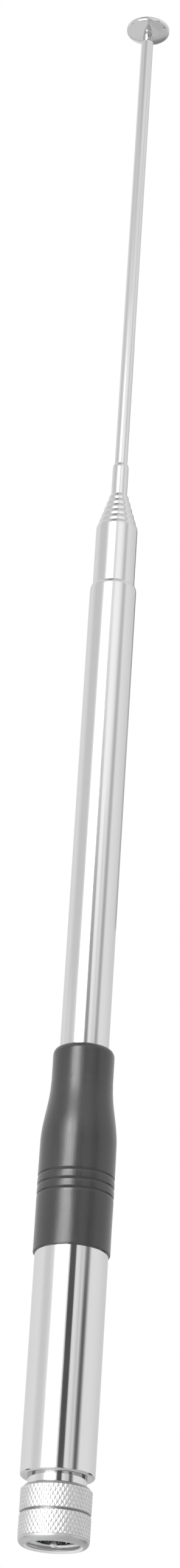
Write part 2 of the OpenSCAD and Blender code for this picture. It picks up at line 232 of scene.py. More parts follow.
@dataclass(frozen=True)
class KnurlPaintedShading:
    """Painted shade and painted light on the knurled nut: painted shade in patches between its diamonds,
    darker painted shade in its groove, and painted light in its bore, a colour lighter than the plating.

    The tones are shares of the plating's own colour. groove_fade holds the shares of the groove's half
    width between which its painted shade fades out.
    """

    root_r: float
    crest_r: float
    groove_z: float
    groove_half: float
    bore_r: float
    # Painted shade tones for the knurl's roots and for the groove.
    root_shade_tone: float = 0.84
    groove_shade_tone: float = 0.35
    groove_fade: tuple[float, float] = (0.5, 0.7)
    # The bore's colour, lighter than the plating: painted light in the nut's mouth.
    bore_light_level: float = 0.95
    bore_edge: float = 0.1 * MM
    shade_cells: float = 900
    least_shade: float = 0.4

    def tint(self, s: ShaderSketch, metal: Colour) -> Socket:
        """The nut's colour all over, with painted shade in its knurl and groove and painted light in its
        bore.

        Args:
            s: the material being made.
            metal: the clean plating's colour.

        Returns:
            A colour socket.
        """
        away = s.axis_distance()
        # Painted shade: darker towards the knurl's roots, in patches of varying strength.
        patches = s.spread(s.noise(s.point(), self.shade_cells), self.least_shade, 1.0)
        root_shade = s.math("MULTIPLY", s.spread(away, 1.0, 0.0, self.root_r, self.crest_r), patches)
        knurl = s.blend(root_shade, metal, shade(metal, self.root_shade_tone))
        # Painted light: the bore gets a colour lighter than the plating.
        outside = s.spread(away, 0.0, 1.0, self.bore_r - self.bore_edge, self.bore_r)
        body = s.blend(outside, grey(self.bore_light_level), knurl)
        # Painted shade in the mid groove.
        aside = s.math("ABSOLUTE", s.math("SUBTRACT", s.height(), self.groove_z))
        in_groove = s.spread(aside, 1.0, 0.0, *(self.groove_half * share for share in self.groove_fade))
        return s.blend(in_groove, body, shade(metal, self.groove_shade_tone))


@dataclass(frozen=True)
class PlatedMetal:
    """Bright plating with lengthwise wipe marks and a fingered haze, and painted shade and painted light
    where a knurl's shading is given.

    haze_share is the part of the roughness that the haze brings, and the wipe marks bring the rest.
    """

    name: str
    colour: Colour
    gloss: tuple[float, float] = (0.07, 0.15)
    haze_share: float = 0.8
    # Painted shade and painted light for a knurled nut, or none.
    painted_shading: KnurlPaintedShading | None = None
    edge_tint: float = 0.85
    haze_cells: float = 90
    haze_tones: tuple[float, float] = (0.96, 1.03)
    wipe_cells: float = 3200
    wipe_depth: float = 0.4e-6
    sway_cells: float = 260
    sway_depth: float = 2.0e-6

    def material(self) -> bpy.types.Material:
        """Make the finish.

        Returns:
            The material.
        """
        s = ShaderSketch(self.name, Metallic=1.0, Specular_Tint=(*grey(self.edge_tint), 1))
        haze = s.noise(s.point((1, 1, 0.35)), self.haze_cells)
        wipes = s.noise(s.point((1, 1, 0.02)), self.wipe_cells, 4)
        if self.painted_shading is None:
            tones = [shade(self.colour, tone) for tone in self.haze_tones]
            s.feed("Base Color", s.blend(haze, *tones))
        else:
            # The knurled nut's colour, with its painted shade and painted light.
            s.feed("Base Color", self.painted_shading.tint(s, self.colour))
        smooth, rough = self.gloss
        hazed = s.spread(haze, smooth, rough * self.haze_share)
        wiped = s.spread(wipes, 0.0, rough * (1 - self.haze_share), 0.45, 0.7)
        s.feed("Roughness", s.math("ADD", hazed, wiped))
        sway = s.bump(s.noise(s.point((1, 1, 0.12)), self.sway_cells, 1), self.sway_depth)
        s.feed("Normal", s.bump(wipes, self.wipe_depth, sway))
        return s.material


@dataclass(frozen=True)
class TurnedMetal:
    """Bare metal with the tool's fine rings round the axis and a little tarnish."""

    name: str
    colour: Colour
    tarnish: Colour
    gloss: tuple[float, float] = (0.2, 0.34)
    patch_cells: float = 420
    ring_pitch: float = 0.12e-3
    ring_depth: float = 1.5e-6
    chatter_cells: float = 700

    def material(self) -> bpy.types.Material:
        """Make the finish.

        Returns:
            The material.
        """
        s = ShaderSketch(self.name, Metallic=1.0)
        patches = s.noise(s.point(), self.patch_cells)
        s.feed("Base Color", s.blend(s.spread(patches, 0.0, 1.0), self.colour, self.tarnish))
        s.feed("Roughness", s.spread(patches, *self.gloss))
        strength = s.spread(s.noise(s.point((1, 1, 3)), self.chatter_cells), 0.3, 1.0)
        chatter = s.math("MULTIPLY", s.tool_rings(self.ring_pitch), strength)
        s.feed("Normal", s.bump(chatter, self.ring_depth))
        return s.material


@dataclass(frozen=True)
class TurnedPlastic:
    """Machined plastic with faint tool rings."""

    name: str
    colour: Colour
    wax: float = 0.0
    wax_depth: float = 0.6 * MM
    gloss: tuple[float, float] = (0.32, 0.48)
    cloud_cells: float = 300
    cloud_tones: tuple[float, float] = (0.94, 1.04)
    ring_pitch: float = 0.15e-3
    ring_depth: float = 2.5e-6
    grain_cells: float = 1500

    def material(self) -> bpy.types.Material:
        """Make the finish.

        Returns:
            The material.
        """
        s = ShaderSketch(self.name, IOR=1.4, Subsurface_Weight=self.wax, Subsurface_Scale=self.wax_depth)
        cloud = s.noise(s.point(), self.cloud_cells)
        s.feed("Base Color", s.blend(cloud, *(shade(self.colour, tone) for tone in self.cloud_tones)))
        s.feed("Roughness", s.spread(cloud, *self.gloss))
        grain = s.math("MULTIPLY", s.tool_rings(self.ring_pitch), s.noise(s.point(), self.grain_cells))
        s.feed("Normal", s.bump(grain, self.ring_depth))
        return s.material


@dataclass(frozen=True)
class ShrinkSkin:
    """Semi-matt heat-shrunk sleeve: an orange-peel skin with drawn lines along it, and rubbed crests."""

    name: str
    colour: Colour
    rubbed: Colour
    gloss: tuple[float, float] = (0.24, 0.33)
    blotch_cells: float = 150
    blotch_tones: tuple[float, float] = (0.9, 1.15)
    drawn_cells: float = 2600
    drawn_depth: float = 3e-6
    rub_cells: float = 1100
    peel_cells: float = 1300
    peel_depth: float = 6e-6

    def material(self) -> bpy.types.Material:
        """Make the finish.

        Returns:
            The material.
        """
        s = ShaderSketch(self.name, IOR=1.6, Sheen_Weight=0.2, Sheen_Roughness=0.35)
        blotch = s.noise(s.point((1, 1, 0.5)), self.blotch_cells)
        drawn = s.noise(s.point((1, 1, 0.05)), self.drawn_cells, 4)
        tone = s.blend(blotch, *(shade(self.colour, tone) for tone in self.blotch_tones))
        rubs = s.spread(s.noise(s.point((1, 1, 0.3)), self.rub_cells, 5), 0.0, 0.5, 0.6, 0.8)
        s.feed("Base Color", s.blend(rubs, tone, self.rubbed))
        s.feed("Roughness", s.math("ADD", s.spread(blotch, *self.gloss), s.spread(drawn, -0.03, 0.05)))
        peel = s.bump(s.noise(s.point((1, 1, 0.6)), self.peel_cells, 2), self.peel_depth)
        s.feed("Normal", s.bump(drawn, self.drawn_depth, peel))
        return s.material


@dataclass(frozen=True)
class MouldedRubber:
    """Matt rubber with a fine grain and a dusty bloom."""

    name: str
    colour: Colour
    gloss: tuple[float, float] = (0.6, 0.85)
    bloom_cells: float = 500
    bloom_tone: float = 1.5
    grain_cells: float = 4000
    grain_depth: float = 8e-6

    def material(self) -> bpy.types.Material:
        """Make the finish.

        Returns:
            The material.
        """
        s = ShaderSketch(self.name, IOR=1.45)
        bloom = s.noise(s.point(), self.bloom_cells, 4)
        dusty = shade(self.colour, self.bloom_tone)
        s.feed("Base Color", s.blend(s.spread(bloom, 0.0, 1.0), self.colour, dusty))
        s.feed("Roughness", s.spread(bloom, *self.gloss))
        s.feed("Normal", s.bump(s.noise(s.point(), self.grain_cells, 3), self.grain_depth))
        return s.material


class FinishBook:
    """Every finish of the antenna, made once and handed out by slot."""

    PLATE = grey(0.69)

    def __init__(self, painted_shading: KnurlPaintedShading) -> None:
        """Make the materials.

        Args:
            painted_shading: the painted shade and painted light on the knurled nut.
        """
        brass, old_brass = (0.78, 0.6, 0.32), (0.6, 0.43, 0.22)
        bronze, old_bronze = (0.68, 0.45, 0.25), (0.5, 0.32, 0.18)
        silver, old_silver = grey(0.9), (0.82, 0.81, 0.79)
        finishes = {
            Slot.CHROME: PlatedMetal("chrome_plate", self.PLATE),
            # The nut's finish carries painted shade in its knurl and groove, and painted light in its bore.
            Slot.CHROMED_NUT: PlatedMetal("chrome_knurl", self.PLATE, gloss=(0.38, 0.5), painted_shading=painted_shading),
            Slot.BLACK_SHRINK: ShrinkSkin("black_shrink", grey(0.028), grey(0.045)),
            Slot.BLACK_ACETAL: TurnedPlastic("black_acetal", grey(0.03)),
            Slot.PTFE: TurnedPlastic("white_ptfe", (0.88, 0.88, 0.86), wax=0.3),
            Slot.BRASS: TurnedMetal("turned_brass", brass, old_brass),
            Slot.BRONZE: TurnedMetal("spring_bronze", bronze, old_bronze, ring_depth=0.4e-6),
            Slot.SILVERED_PIN: TurnedMetal("silver_flash", silver, old_silver, gloss=(0.14, 0.24)),
            Slot.SILVERED_COPPER: PlatedMetal("silvered_wire", (0.86, 0.85, 0.82), gloss=(0.12, 0.3)),
            Slot.STEEL: TurnedMetal("ground_steel", grey(0.6), grey(0.52)),
            Slot.GREY_RUBBER: MouldedRubber("grey_rubber", grey(0.11)),
        }
        self.materials = {slot: finish.material() for slot, finish in finishes.items()}
        self.slot_of = {row["node"]: Slot(row["material_slot"]) for row in frame["record"]["subparts"]}

    def dress_node(self, node: str) -> None:
        """Give a CAD node the finish of its own slot.

        Args:
            node: the node's name.
        """
        mesh = frame["nodes"][node].data
        mesh.materials.clear()
        mesh.materials.append(self.materials[self.slot_of[node]])
        log.info("finished %s in %s", node, self.slot_of[node].value)

    def dress(self, piece: bpy.types.Object, slot: Slot) -> None:
        """Give a modelled piece the finish of a slot."""
        piece.data.materials.append(self.materials[slot])


# -------------------------------------------------------------------------------------------- shapes


def mesh_piece(name: str, points: list[Vector], faces: list[tuple[int, ...]]) -> bpy.types.Object:
    """Make a mesh object and put it in the scene.

    Args:
        name: its name.
        points: its corners.
        faces: each face's corners, by number.

    Returns:
        The object.
    """
    mesh = bpy.data.meshes.new(name)
    mesh.from_pydata(points, [], faces)
    piece = bpy.data.objects.new(name, mesh)
    bpy.context.scene.collection.objects.link(piece)
    return piece


@dataclass(frozen=True)
class Ring:
    """One closed loop of points round the Z axis, as a radius and a height for each column."""

    radii: list[float]
    heights: list[float]
    turn: float = 0.0


class TurnedShape:
    """A closed surface made of rings round the Z axis, joined in order, the last to the first."""

    SMOOTH_ANGLE = math.radians(35)

    def __init__(self, columns: int) -> None:
        """Start with no rings, each to have so many columns of points."""
        self.columns = columns
        self.rings: list[Ring] = []

    def add(self, radius: float, height: float) -> None:
        """Add a plain round ring."""
        self.rings.append(Ring([radius] * self.columns, [height] * self.columns))

    def add_ring(self, radii: list[float], heights: list[float], turn: float = 0.0) -> None:
        """Add a ring whose points differ; turn shifts it by that many columns."""
        self.rings.append(Ring(radii, heights, turn))

    def angle(self, column: float) -> float:
        """The angle of a column round the axis."""
        return 2 * math.pi * column / self.columns

    def build(self, name: str) -> bpy.types.Object:
        """Make the object.

        Args:
            name: the piece's name.

        Returns:
            A mesh object, smooth but for its true edges.
        """
        points, faces = [], []
        for k, ring in enumerate(self.rings):
            for i, (radius, height) in enumerate(zip(ring.radii, ring.heights)):
                a = self.angle(i + ring.turn)
                points.append(Vector((radius * math.cos(a), radius * math.sin(a), height)))
            after = (k + 1) % len(self.rings)
            faces += self.strip(k * self.columns, after * self.columns, ring.turn, self.rings[after].turn)
        piece = mesh_piece(name, points, faces)
        piece.data.shade_smooth()
        piece.data.set_sharp_from_angle(angle=self.SMOOTH_ANGLE)
        return piece

    def strip(self, low: int, high: int, low_turn: float, high_turn: float) -> list[tuple[int, ...]]:
        """The faces between two rings.

        Args:
            low: first point of the lower ring.
            high: first point of the upper ring.
            low_turn: the lower ring's shift, in columns.
            high_turn: the upper ring's shift.

        Returns:
            Faces wound so that they look away from the axis as the rings go up.
        """
        faces = []
        for i in range(self.columns):
            j = (i + 1) % self.columns
            if low_turn == high_turn:
                faces.append((low + i, low + j, high + j, high + i))
            elif low_turn < high_turn:
                faces += [(low + i, low + j, high + i), (low + j, high + j, high + i)]
            else:
                faces += [(low + i, high + j, high + i), (low + i, low + j, high + j)]
        return faces


def arc(centre: tuple[float, float], size: tuple[float, float], start: float, end: float,
        steps: int = 8) -> list[tuple[float, float]]:
    """Points of an elliptical arc in the plane of radius and height.

    Args:
        centre: its centre.
        size: its half width and half height.
        start: first angle, in degrees from the outward direction.
        end: last angle.
        steps: stretches between the first point and the last.

    Returns:
        The points, from start to end.
    """
    angles = [math.radians(start + (end - start) * i / steps) for i in range(steps + 1)]
    return [(centre[0] + size[0] * math.cos(a), centre[1] + size[1] * math.sin(a)) for a in angles]


def line_height(points: tuple[tuple[float, float], ...], x: float) -> float:
    """The height of a broken line at a place.

    Args:
        points: its corners, from left to right.
        x: the place.

    Returns:
        The height, or 0 outside the line.
    """
    for (x0, y0), (x1, y1) in zip(points, points[1:]):
        if x0 <= x < x1:
            return y0 + (y1 - y0) * (x - x0) / (x1 - x0)
    return 0.0


def ring_noise(angle: float, lobes: float, height: float) -> float:
    """Noise of about -1 to 1 that closes round the axis, rougher with more lobes."""
    return noise.noise(Vector((lobes * math.cos(angle), lobes * math.sin(angle), height)))


def outer_radius(node: str) -> float:
    """The largest radius of a turned CAD node."""
    low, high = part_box(node)
    return max(high.x, high.y, -low.x, -low.y)


# ------------------------------------------------------------------------------------ sub-assemblies


@dataclass
class CouplingNut:
    """The knurled nut with its mid groove, rounded mouth and coupling thread.

    land is the narrow flat beside a knurled band, relief the room round the thread behind it, and
    crest_share the share of a knurl wave's height at which a diamond's flat top begins.
    """

    teeth: int = 48
    samples: int = 6
    helix_deg: float = 30.0
    knurl_depth: float = 0.1 * MM
    crest_share: float = 0.65
    mouth_round: float = 1.2 * MM
    mouth_start_deg: float = -75.0
    rim_step: float = 0.04 * MM
    land: float = 0.1 * MM
    groove_z: float = 5.8 * MM
    groove: float = 0.32 * MM
    groove_w: float = 0.5 * MM
    groove_wall: float = 0.3
    rear_bevel: float = 0.6 * MM
    thread_pitch: float = 0.907 * MM
    thread_depth: float = 0.36 * MM
    thread_fullness: float = 0.7
    thread_r: float = 5.55 * MM
    thread_h: float = 6.5 * MM
    thread_steps: int = 8
    relief: float = 0.15 * MM
    web_h: float = 2.7 * MM
    web_r: float = 4.05 * MM

    def __post_init__(self) -> None:
        """Read the nut's place from the CAD node that it stands for."""
        low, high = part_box("coupling_nut")
        self.low_z, self.high_z = low.z, high.z
        self.radius = outer_radius("coupling_nut")
        self.root_r = self.radius - self.knurl_depth
        self.relief_r = self.thread_r + self.relief

    def painted_shading(self) -> KnurlPaintedShading:
        """The painted shade and painted light on the nut."""
        middle = self.low_z + self.groove_z + self.groove_w / 2
        return KnurlPaintedShading(self.root_r, self.radius, middle, self.groove_w / 2, self.relief_r)

    def knurl_height(self, first: float, second: float) -> float:
        """Height of the knurl between two families of crossing grooves.

        Args:
            first: place across the first family, in pitches.
            second: place across the second family.

        Returns:
            0 in a groove, 1 on a crest.
        """
        waves = [1 - abs(2 * (t % 1.0) - 1) for t in (first, second)]
        return min(1.0, min(waves) / self.crest_share)

    def knurl_band(self, shape: TurnedShape, low_z: float, high_z: float) -> None:
        """Add one band of diamonds.

        Args:
            shape: the surface to add to.
            low_z: height of the band's first row.
            high_z: height of its last row.
        """
        step = 2 * math.pi * self.radius / shape.columns
        rows = 2 * round((high_z - low_z) / (step / math.tan(math.radians(self.helix_deg))))
        for row in range(rows + 1):
            turn = 0.5 * (row % 2)
            radii = []
            for i in range(shape.columns):
                first, second = (i + turn + row / 2) / self.samples, (i + turn - row / 2) / self.samples
                radii.append(self.root_r + self.knurl_depth * self.knurl_height(first, second))
            height = low_z + (high_z - low_z) * row / rows
            shape.add_ring(radii, [height] * shape.columns, turn)

    def mouth(self, shape: TurnedShape) -> None:
        """Add the rounded mouth, from the thread's edge out to the rim.

        Args:
            shape: the surface to add to.
        """
        shape.add(self.thread_r + self.land, self.low_z)
        centre = (self.radius - self.rim_step - self.mouth_round, self.low_z + self.mouth_round)
        for r, z in arc(centre, (self.mouth_round, self.mouth_round), self.mouth_start_deg, 0):
            shape.add(r, z)

    def flank(self, shape: TurnedShape) -> None:
        """Add the two knurled bands, the groove between them and the bevel behind them.

        Args:
            shape: the surface to add to.
        """
        band_z = self.low_z + self.mouth_round + self.land
        groove_low = self.low_z + self.groove_z
        groove_high = groove_low + self.groove_w
        wall = self.groove_w * self.groove_wall
        bevel_z = self.high_z - self.rear_bevel
        shape.add(self.root_r, band_z)
        self.knurl_band(shape, band_z + self.land, groove_low - self.land)
        shape.add(self.root_r, groove_low)
        shape.add(self.radius - self.groove, groove_low + wall)
        shape.add(self.radius - self.groove, groove_high - wall)
        shape.add(self.root_r, groove_high)
        self.knurl_band(shape, groove_high + self.land, bevel_z)
        shape.add(self.root_r - self.land, bevel_z + self.land)
        shape.add(self.radius - self.rear_bevel, self.high_z)

    def bore(self, shape: TurnedShape) -> None:
        """Add the web's bore and the room behind the thread.

        Args:
            shape: the surface to add to.
        """
        web_z = self.high_z - self.web_h
        shape.add(self.web_r, self.high_z)
        shape.add(self.web_r, web_z)
        shape.add(self.relief_r, web_z)
        shape.add(self.relief_r, self.low_z + self.thread_h + self.land)

    def thread(self, shape: TurnedShape) -> None:
        """Add the coupling thread's turns, from its inner end down to the mouth.

        Args:
            shape: the surface to add to.
        """
        minor = self.thread_r - self.thread_depth
        entry = self.thread_depth
        count = round((self.thread_h - entry) / self.thread_pitch * self.thread_steps)
        for k in range(count + 1):
            z = self.thread_h - (self.thread_h - entry) * k / count
            depth = self.thread_depth * min(1.0, k / self.thread_steps, (count - k) / self.thread_steps)
            radii = []
            for i in range(shape.columns):
                wave = 0.5 + 0.5 * math.cos(2 * math.pi * (z / self.thread_pitch - i / shape.columns))
                radii.append(minor + depth * wave ** self.thread_fullness)
            shape.add_ring(radii, [self.low_z + z] * shape.columns)

    def build(self, book: FinishBook) -> None:
        """Model the nut and put it on its body.

        Args:
            book: the finishes.
        """
        shape = TurnedShape(self.teeth * self.samples)
        for stretch in (self.mouth, self.flank, self.bore, self.thread):
            stretch(shape)
        nut = shape.build("knurled_nut")
        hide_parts("coupling_nut")
        book.dress(nut, Slot.CHROMED_NUT)
        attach(nut, "nut")
        log.info("built knurled_nut: %d teeth, radius %.2f mm", self.teeth, self.radius / MM)


@dataclass
class ShrinkBoot:
    """The shrink sleeve: three pressed rings, a drawn-in shoulder and a lower edge that isn't cut quite true.

    Heights are above the lower edge. fine says how many rows stand in for one beside the rings and the
    ledge, the lobes how often the skin and the cut sway on their way round, and cut_reach how far up the
    cut's sway still lifts the skin.
    """

    columns: int = 144
    step: float = 0.36 * MM
    fine: int = 4
    wall: float = 0.4 * MM
    neck_wall: float = 1.3 * MM
    neck_h: float = 7.2 * MM
    shoulder_h: float = 12.6 * MM
    rings: int = 3
    ring_z: float = 11.2 * MM
    ring_pitch: float = 1.9 * MM
    ring_w: float = 1.4 * MM
    ring_depth: float = 0.17 * MM
    top_round: tuple[float, float] = (0.95 * MM, 1.35 * MM)
    top_start_deg: float = 8.0
    cap_t: float = 1.4 * MM
    ledge_z: float = 34.6 * MM
    ledge_w: float = 0.6 * MM
    ledge: float = 0.04 * MM
    ledge_rows: int = 3
    unevenness: float = 0.07 * MM
    sag_lobes: float = 2.2
    sag_length: float = 9 * MM
    sag_middle: float = 0.5
    sag_swing: float = 0.7
    cut_edge: float = 0.12 * MM
    cut_wave: float = 0.12 * MM
    cut_lobes: float = 1.7
    cut_slice: float = 5.0
    cut_reach: float = 3 * MM

    # How deep a pressed ring is along its width: a gentle way in from below, and a steep one from above.
    RING = ((0.3, 0.0), (0.62, 0.24), (0.8, 1.0), (1.0, 0.0))

    def __post_init__(self) -> None:
        """Read the sleeve's place from the CAD."""
        low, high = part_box("shrink_boot")
        self.low_z, self.high_z = low.z, high.z
        self.foot_r = outer_radius("shrink_boot")
        self.mast_r = outer_radius("section_1_tube")
        self.barrel_r = outer_radius("base_barrel")
        self.barrel_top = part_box("base_barrel")[1].z
        self.neck_r = self.mast_r + self.neck_wall

    def outline(self, z: float) -> float:
        """The true sleeve's outside.

        Args:
            z: a height above the lower edge.

        Returns:
            The radius there.
        """
        neck_z = self.high_z - self.low_z - self.neck_h
        t = min(1.0, max(0.0, (z - neck_z + self.shoulder_h) / self.shoulder_h))
        radius = self.foot_r + (self.neck_r - self.foot_r) * (1 - math.cos(math.pi * t)) / 2
        for i in range(self.rings):
            share = (z - self.ring_z - i * self.ring_pitch) / self.ring_w + 0.5
            radius -= self.ring_depth * line_height(self.RING, share)
        return radius

    def ledge_drop(self, z: float) -> float:
        """How far the skin drops in above the faint ledge where the insulator ends under it."""
        return self.ledge * min(1.0, max(0.0, (z - self.ledge_z) / self.ledge_w))

    def sag(self, angle: float, z: float) -> float:
        """How far the skin lies inside its true outline at a bearing and a height, from 0 to 1."""
        swell = ring_noise(angle, self.sag_lobes, z / self.sag_length)
        return min(1.0, max(0.0, self.sag_middle + self.sag_swing * swell))

    def cut(self, angle: float) -> float:
        """How far the lower edge was cut above its true line at a bearing."""
        return self.cut_wave * (1 + ring_noise(angle, self.cut_lobes, self.cut_slice))

    def levels(self, low: float, high: float) -> list[float]:
        """Heights of the rows, closer together where the rings and the ledge are.

        Args:
            low: the first height above the lower edge.
            high: the last one.

        Returns:
            The heights, going up.
        """
        count = round((high - low) / self.step)
        gap = (high - low) / count
        middle = self.ring_z + (self.rings - 1) * self.ring_pitch / 2
        made = []
        for k in range(count):
            z = low + gap * k
            ringed = abs(z - middle) < self.rings * self.ring_pitch / 2 + gap
            parts = self.fine if ringed or abs(z - self.ledge_z) < self.ledge_rows * gap else 1
            made += [z + gap * j / parts for j in range(parts)]
        return made + [high]

    def outside(self, shape: TurnedShape) -> None:
        """Add the skin, from the cut lower edge up to the rounded top.

        Args:
            shape: the surface to add to.
        """
        angles = [shape.angle(i) for i in range(self.columns)]
        cuts = [self.cut(a) for a in angles]
        for radius in (self.barrel_r, self.foot_r - self.cut_edge):
            shape.add_ring([radius] * self.columns, [self.low_z + c for c in cuts])
        body_top = self.high_z - self.low_z - self.top_round[1]
        for z in self.levels(self.cut_edge, body_top):
            lift = max(0.0, 1 - z / self.cut_reach)
            true_r = self.outline(z) - self.ledge_drop(z)
            radii = [true_r - self.unevenness * self.sag(a, z) for a in angles]
            shape.add_ring(radii, [self.low_z + z + c * lift for c in cuts])
        sags = [self.ledge + self.unevenness * self.sag(a, body_top) for a in angles]
        centre = (self.neck_r - self.top_round[0], self.high_z - self.top_round[1])
        for r, z in arc(centre, self.top_round, self.top_start_deg, 90):
            shape.add_ring([r - s for s in sags], [z] * self.columns)

    def inside(self, shape: TurnedShape) -> None:
        """Add the inner wall, from the mast's seat down to the barrel's top.

        Args:
            shape: the surface to add to.
        """
        cap_z = self.high_z - self.cap_t
        shape.add(self.mast_r, self.high_z)
        shape.add(self.mast_r, cap_z)
        for z in reversed(self.levels(self.barrel_top - self.low_z, cap_z - self.low_z)):
            shape.add(self.outline(z) - self.wall, self.low_z + z)

    def build(self, book: FinishBook) -> None:
        """Model the sleeve and put it on its body.

        Args:
            book: the finishes.
        """
        shape = TurnedShape(self.columns)
        self.outside(shape)
        self.inside(shape)
        sleeve = shape.build("shrink_sleeve")
        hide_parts("shrink_boot")
        book.dress(sleeve, Slot.BLACK_SHRINK)
        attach(sleeve, "base")
        log.info("built shrink_sleeve: %.1f mm long", (self.high_z - self.low_z) / MM)


# -------------------------------------------------------------------------------------------- studio


@dataclass
class Viewpoint:
    """The camera, low in front of the antenna and looking up at it.

    It aims at a share of the antenna's height, leans by lean_deg about its own line of sight and stands a
    little aside of the mast.
    """

    lens_mm: float = 80.26
    film_mm: float = 36.0
    distance: float = 0.720
    aim_share: float = 0.4536
    rise_deg: float = 24.3
    lean_deg: float = 3.67
    aside: float = 2.26 * MM
    clip: tuple[float, float] = (0.01, 60.0)

    def build(self, low: Vector, high: Vector) -> None:
        """Make the camera.

        Args:
            low: lowest corner of the antenna.
            high: its highest corner.
        """
        rise, lean = math.radians(self.rise_deg), math.radians(self.lean_deg)
        across = Vector((1, 0, 0))
        forward = Vector((0, math.cos(rise), math.sin(rise)))
        plain_up = Vector((0, -math.sin(rise), math.cos(rise)))
        right = across * math.cos(lean) + plain_up * math.sin(lean)
        up = plain_up * math.cos(lean) - across * math.sin(lean)
        aim = Vector((0, 0, low.z + (high.z - low.z) * self.aim_share))
        place = aim - forward * self.distance - right * self.aside
        data = bpy.data.cameras.new("view")
        data.lens, data.sensor_width = self.lens_mm, self.film_mm
        data.clip_start, data.clip_end = self.clip
        camera = bpy.data.objects.new("view", data)
        turn = Matrix((right, up, -forward)).transposed()
        camera.matrix_world = Matrix.Translation(place) @ turn.to_4x4()
        bpy.context.scene.collection.objects.link(camera)
        bpy.context.scene.camera = camera
        log.info("camera %.0f mm from the mast, rising %.1f degrees", self.distance / MM, self.rise_deg)


def round_mast(bearing_deg: float, away: float, z: float) -> Vector:
    """A place by bearing, distance and height; bearings start at the camera's side and grow rightwards."""
    a = math.radians(bearing_deg)
    return Vector((math.sin(a) * away, -math.cos(a) * away, z))


@dataclass(frozen=True)
class Board:
    """A studio board that bright metal mirrors as a streak.

    Its sides stand at two bearings in degrees, at its foot and at its head. In height, level and distance a
    pair holds the value at the foot and at the head, and fade says between which shares of its height the
    level changes. Its sides melt into the level around over the shares in feather, along a curve of power
    ease.
    """

    name: str
    foot_deg: tuple[float, float]
    head_deg: tuple[float, float]
    height: tuple[float, float]
    level: tuple[float, float]
    feather: tuple[float, float]
    fade: tuple[float, float] = (0.0, 1.0)
    around: float = 1.0
    distance: tuple[float, float] = (0.6, 0.6)
    ease: float = 1.0

    GRID = 8

    def place(self, across: float, up: float) -> Vector:
        """A point of the board.

        Args:
            across: share of its width, from the left.
            up: share of its height.

        Returns:
            The point.
        """
        foot = self.foot_deg[0] + (self.foot_deg[1] - self.foot_deg[0]) * across
        head = self.head_deg[0] + (self.head_deg[1] - self.head_deg[0]) * across
        away = self.distance[0] + (self.distance[1] - self.distance[0]) * up
        z = self.height[0] + (self.height[1] - self.height[0]) * up
        return round_mast(foot + (head - foot) * up, away, z)

    def glow(self) -> bpy.types.Material:
        """Make the board's own light.

        Returns:
            The material.
        """
        s = ShaderSketch(self.name, Base_Color=BLACK, Emission_Color=WHITE, Roughness=1.0,
                         Specular_IOR_Level=0.0)
        share = s.node("SeparateXYZ", {"Vector": s.node("TexCoord").outputs["UV"]})
        fall = s.math("POWER", s.spread(share.outputs["Y"], 1.0, 0.0, *self.fade), self.ease)
        core = s.spread(fall, self.level[1], self.level[0], 0.0, 1.0)
        left = s.spread(share.outputs["X"], 0.0, 1.0, 0.0, self.feather[0])
        right = s.spread(share.outputs["X"], 1.0, 0.0, 1 - self.feather[1], 1.0)
        inside = s.math("POWER", s.math("MULTIPLY", left, right), self.ease)
        beyond = s.math("MULTIPLY", s.math("SUBTRACT", 1.0, inside), self.around)
        s.feed("Emission Strength", s.math("ADD", s.math("MULTIPLY", core, inside), beyond))
        return s.material

    def build(self) -> None:
        """Stand the board up, seen only by bright metal."""
        n = self.GRID
        spots = [(i / n, j / n) for j in range(n + 1) for i in range(n + 1)]
        faces = [(k, k + 1, k + n + 2, k + n + 1) for k in range(n * (n + 1)) if k % (n + 1) < n]
        board = mesh_piece(self.name, [self.place(*spot) for spot in spots], faces)
        shares = board.data.uv_layers.new(name="share")
        for loop in board.data.loops:
            shares.data[loop.index].uv = spots[loop.vertex_index]
        board.data.materials.append(self.glow())
        board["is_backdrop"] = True
        board.visible_camera = board.visible_diffuse = board.visible_shadow = False
        board.visible_transmission = False


@dataclass(frozen=True)
class SoftLamp:
    """A rectangular lamp that faces the mast, seen only by its light."""

    name: str
    bearing_deg: float
    distance: float
    height: float
    width: float
    tall: float
    tilt_deg: float
    radiance: float

    def build(self) -> None:
        """Hang the lamp; its power follows from its radiance and its area."""
        data = bpy.data.lights.new(self.name, "AREA")
        data.shape, data.size, data.size_y = "RECTANGLE", self.width, self.tall
        data.energy = self.radiance * math.pi * self.width * self.tall
        lamp = bpy.data.objects.new(self.name, data)
        lamp.location = round_mast(self.bearing_deg, self.distance, self.height)
        lamp.rotation_euler = (math.radians(90 - self.tilt_deg), 0, math.radians(self.bearing_deg))
        lamp.visible_camera = lamp.visible_glossy = False
        bpy.context.scene.collection.objects.link(lamp)


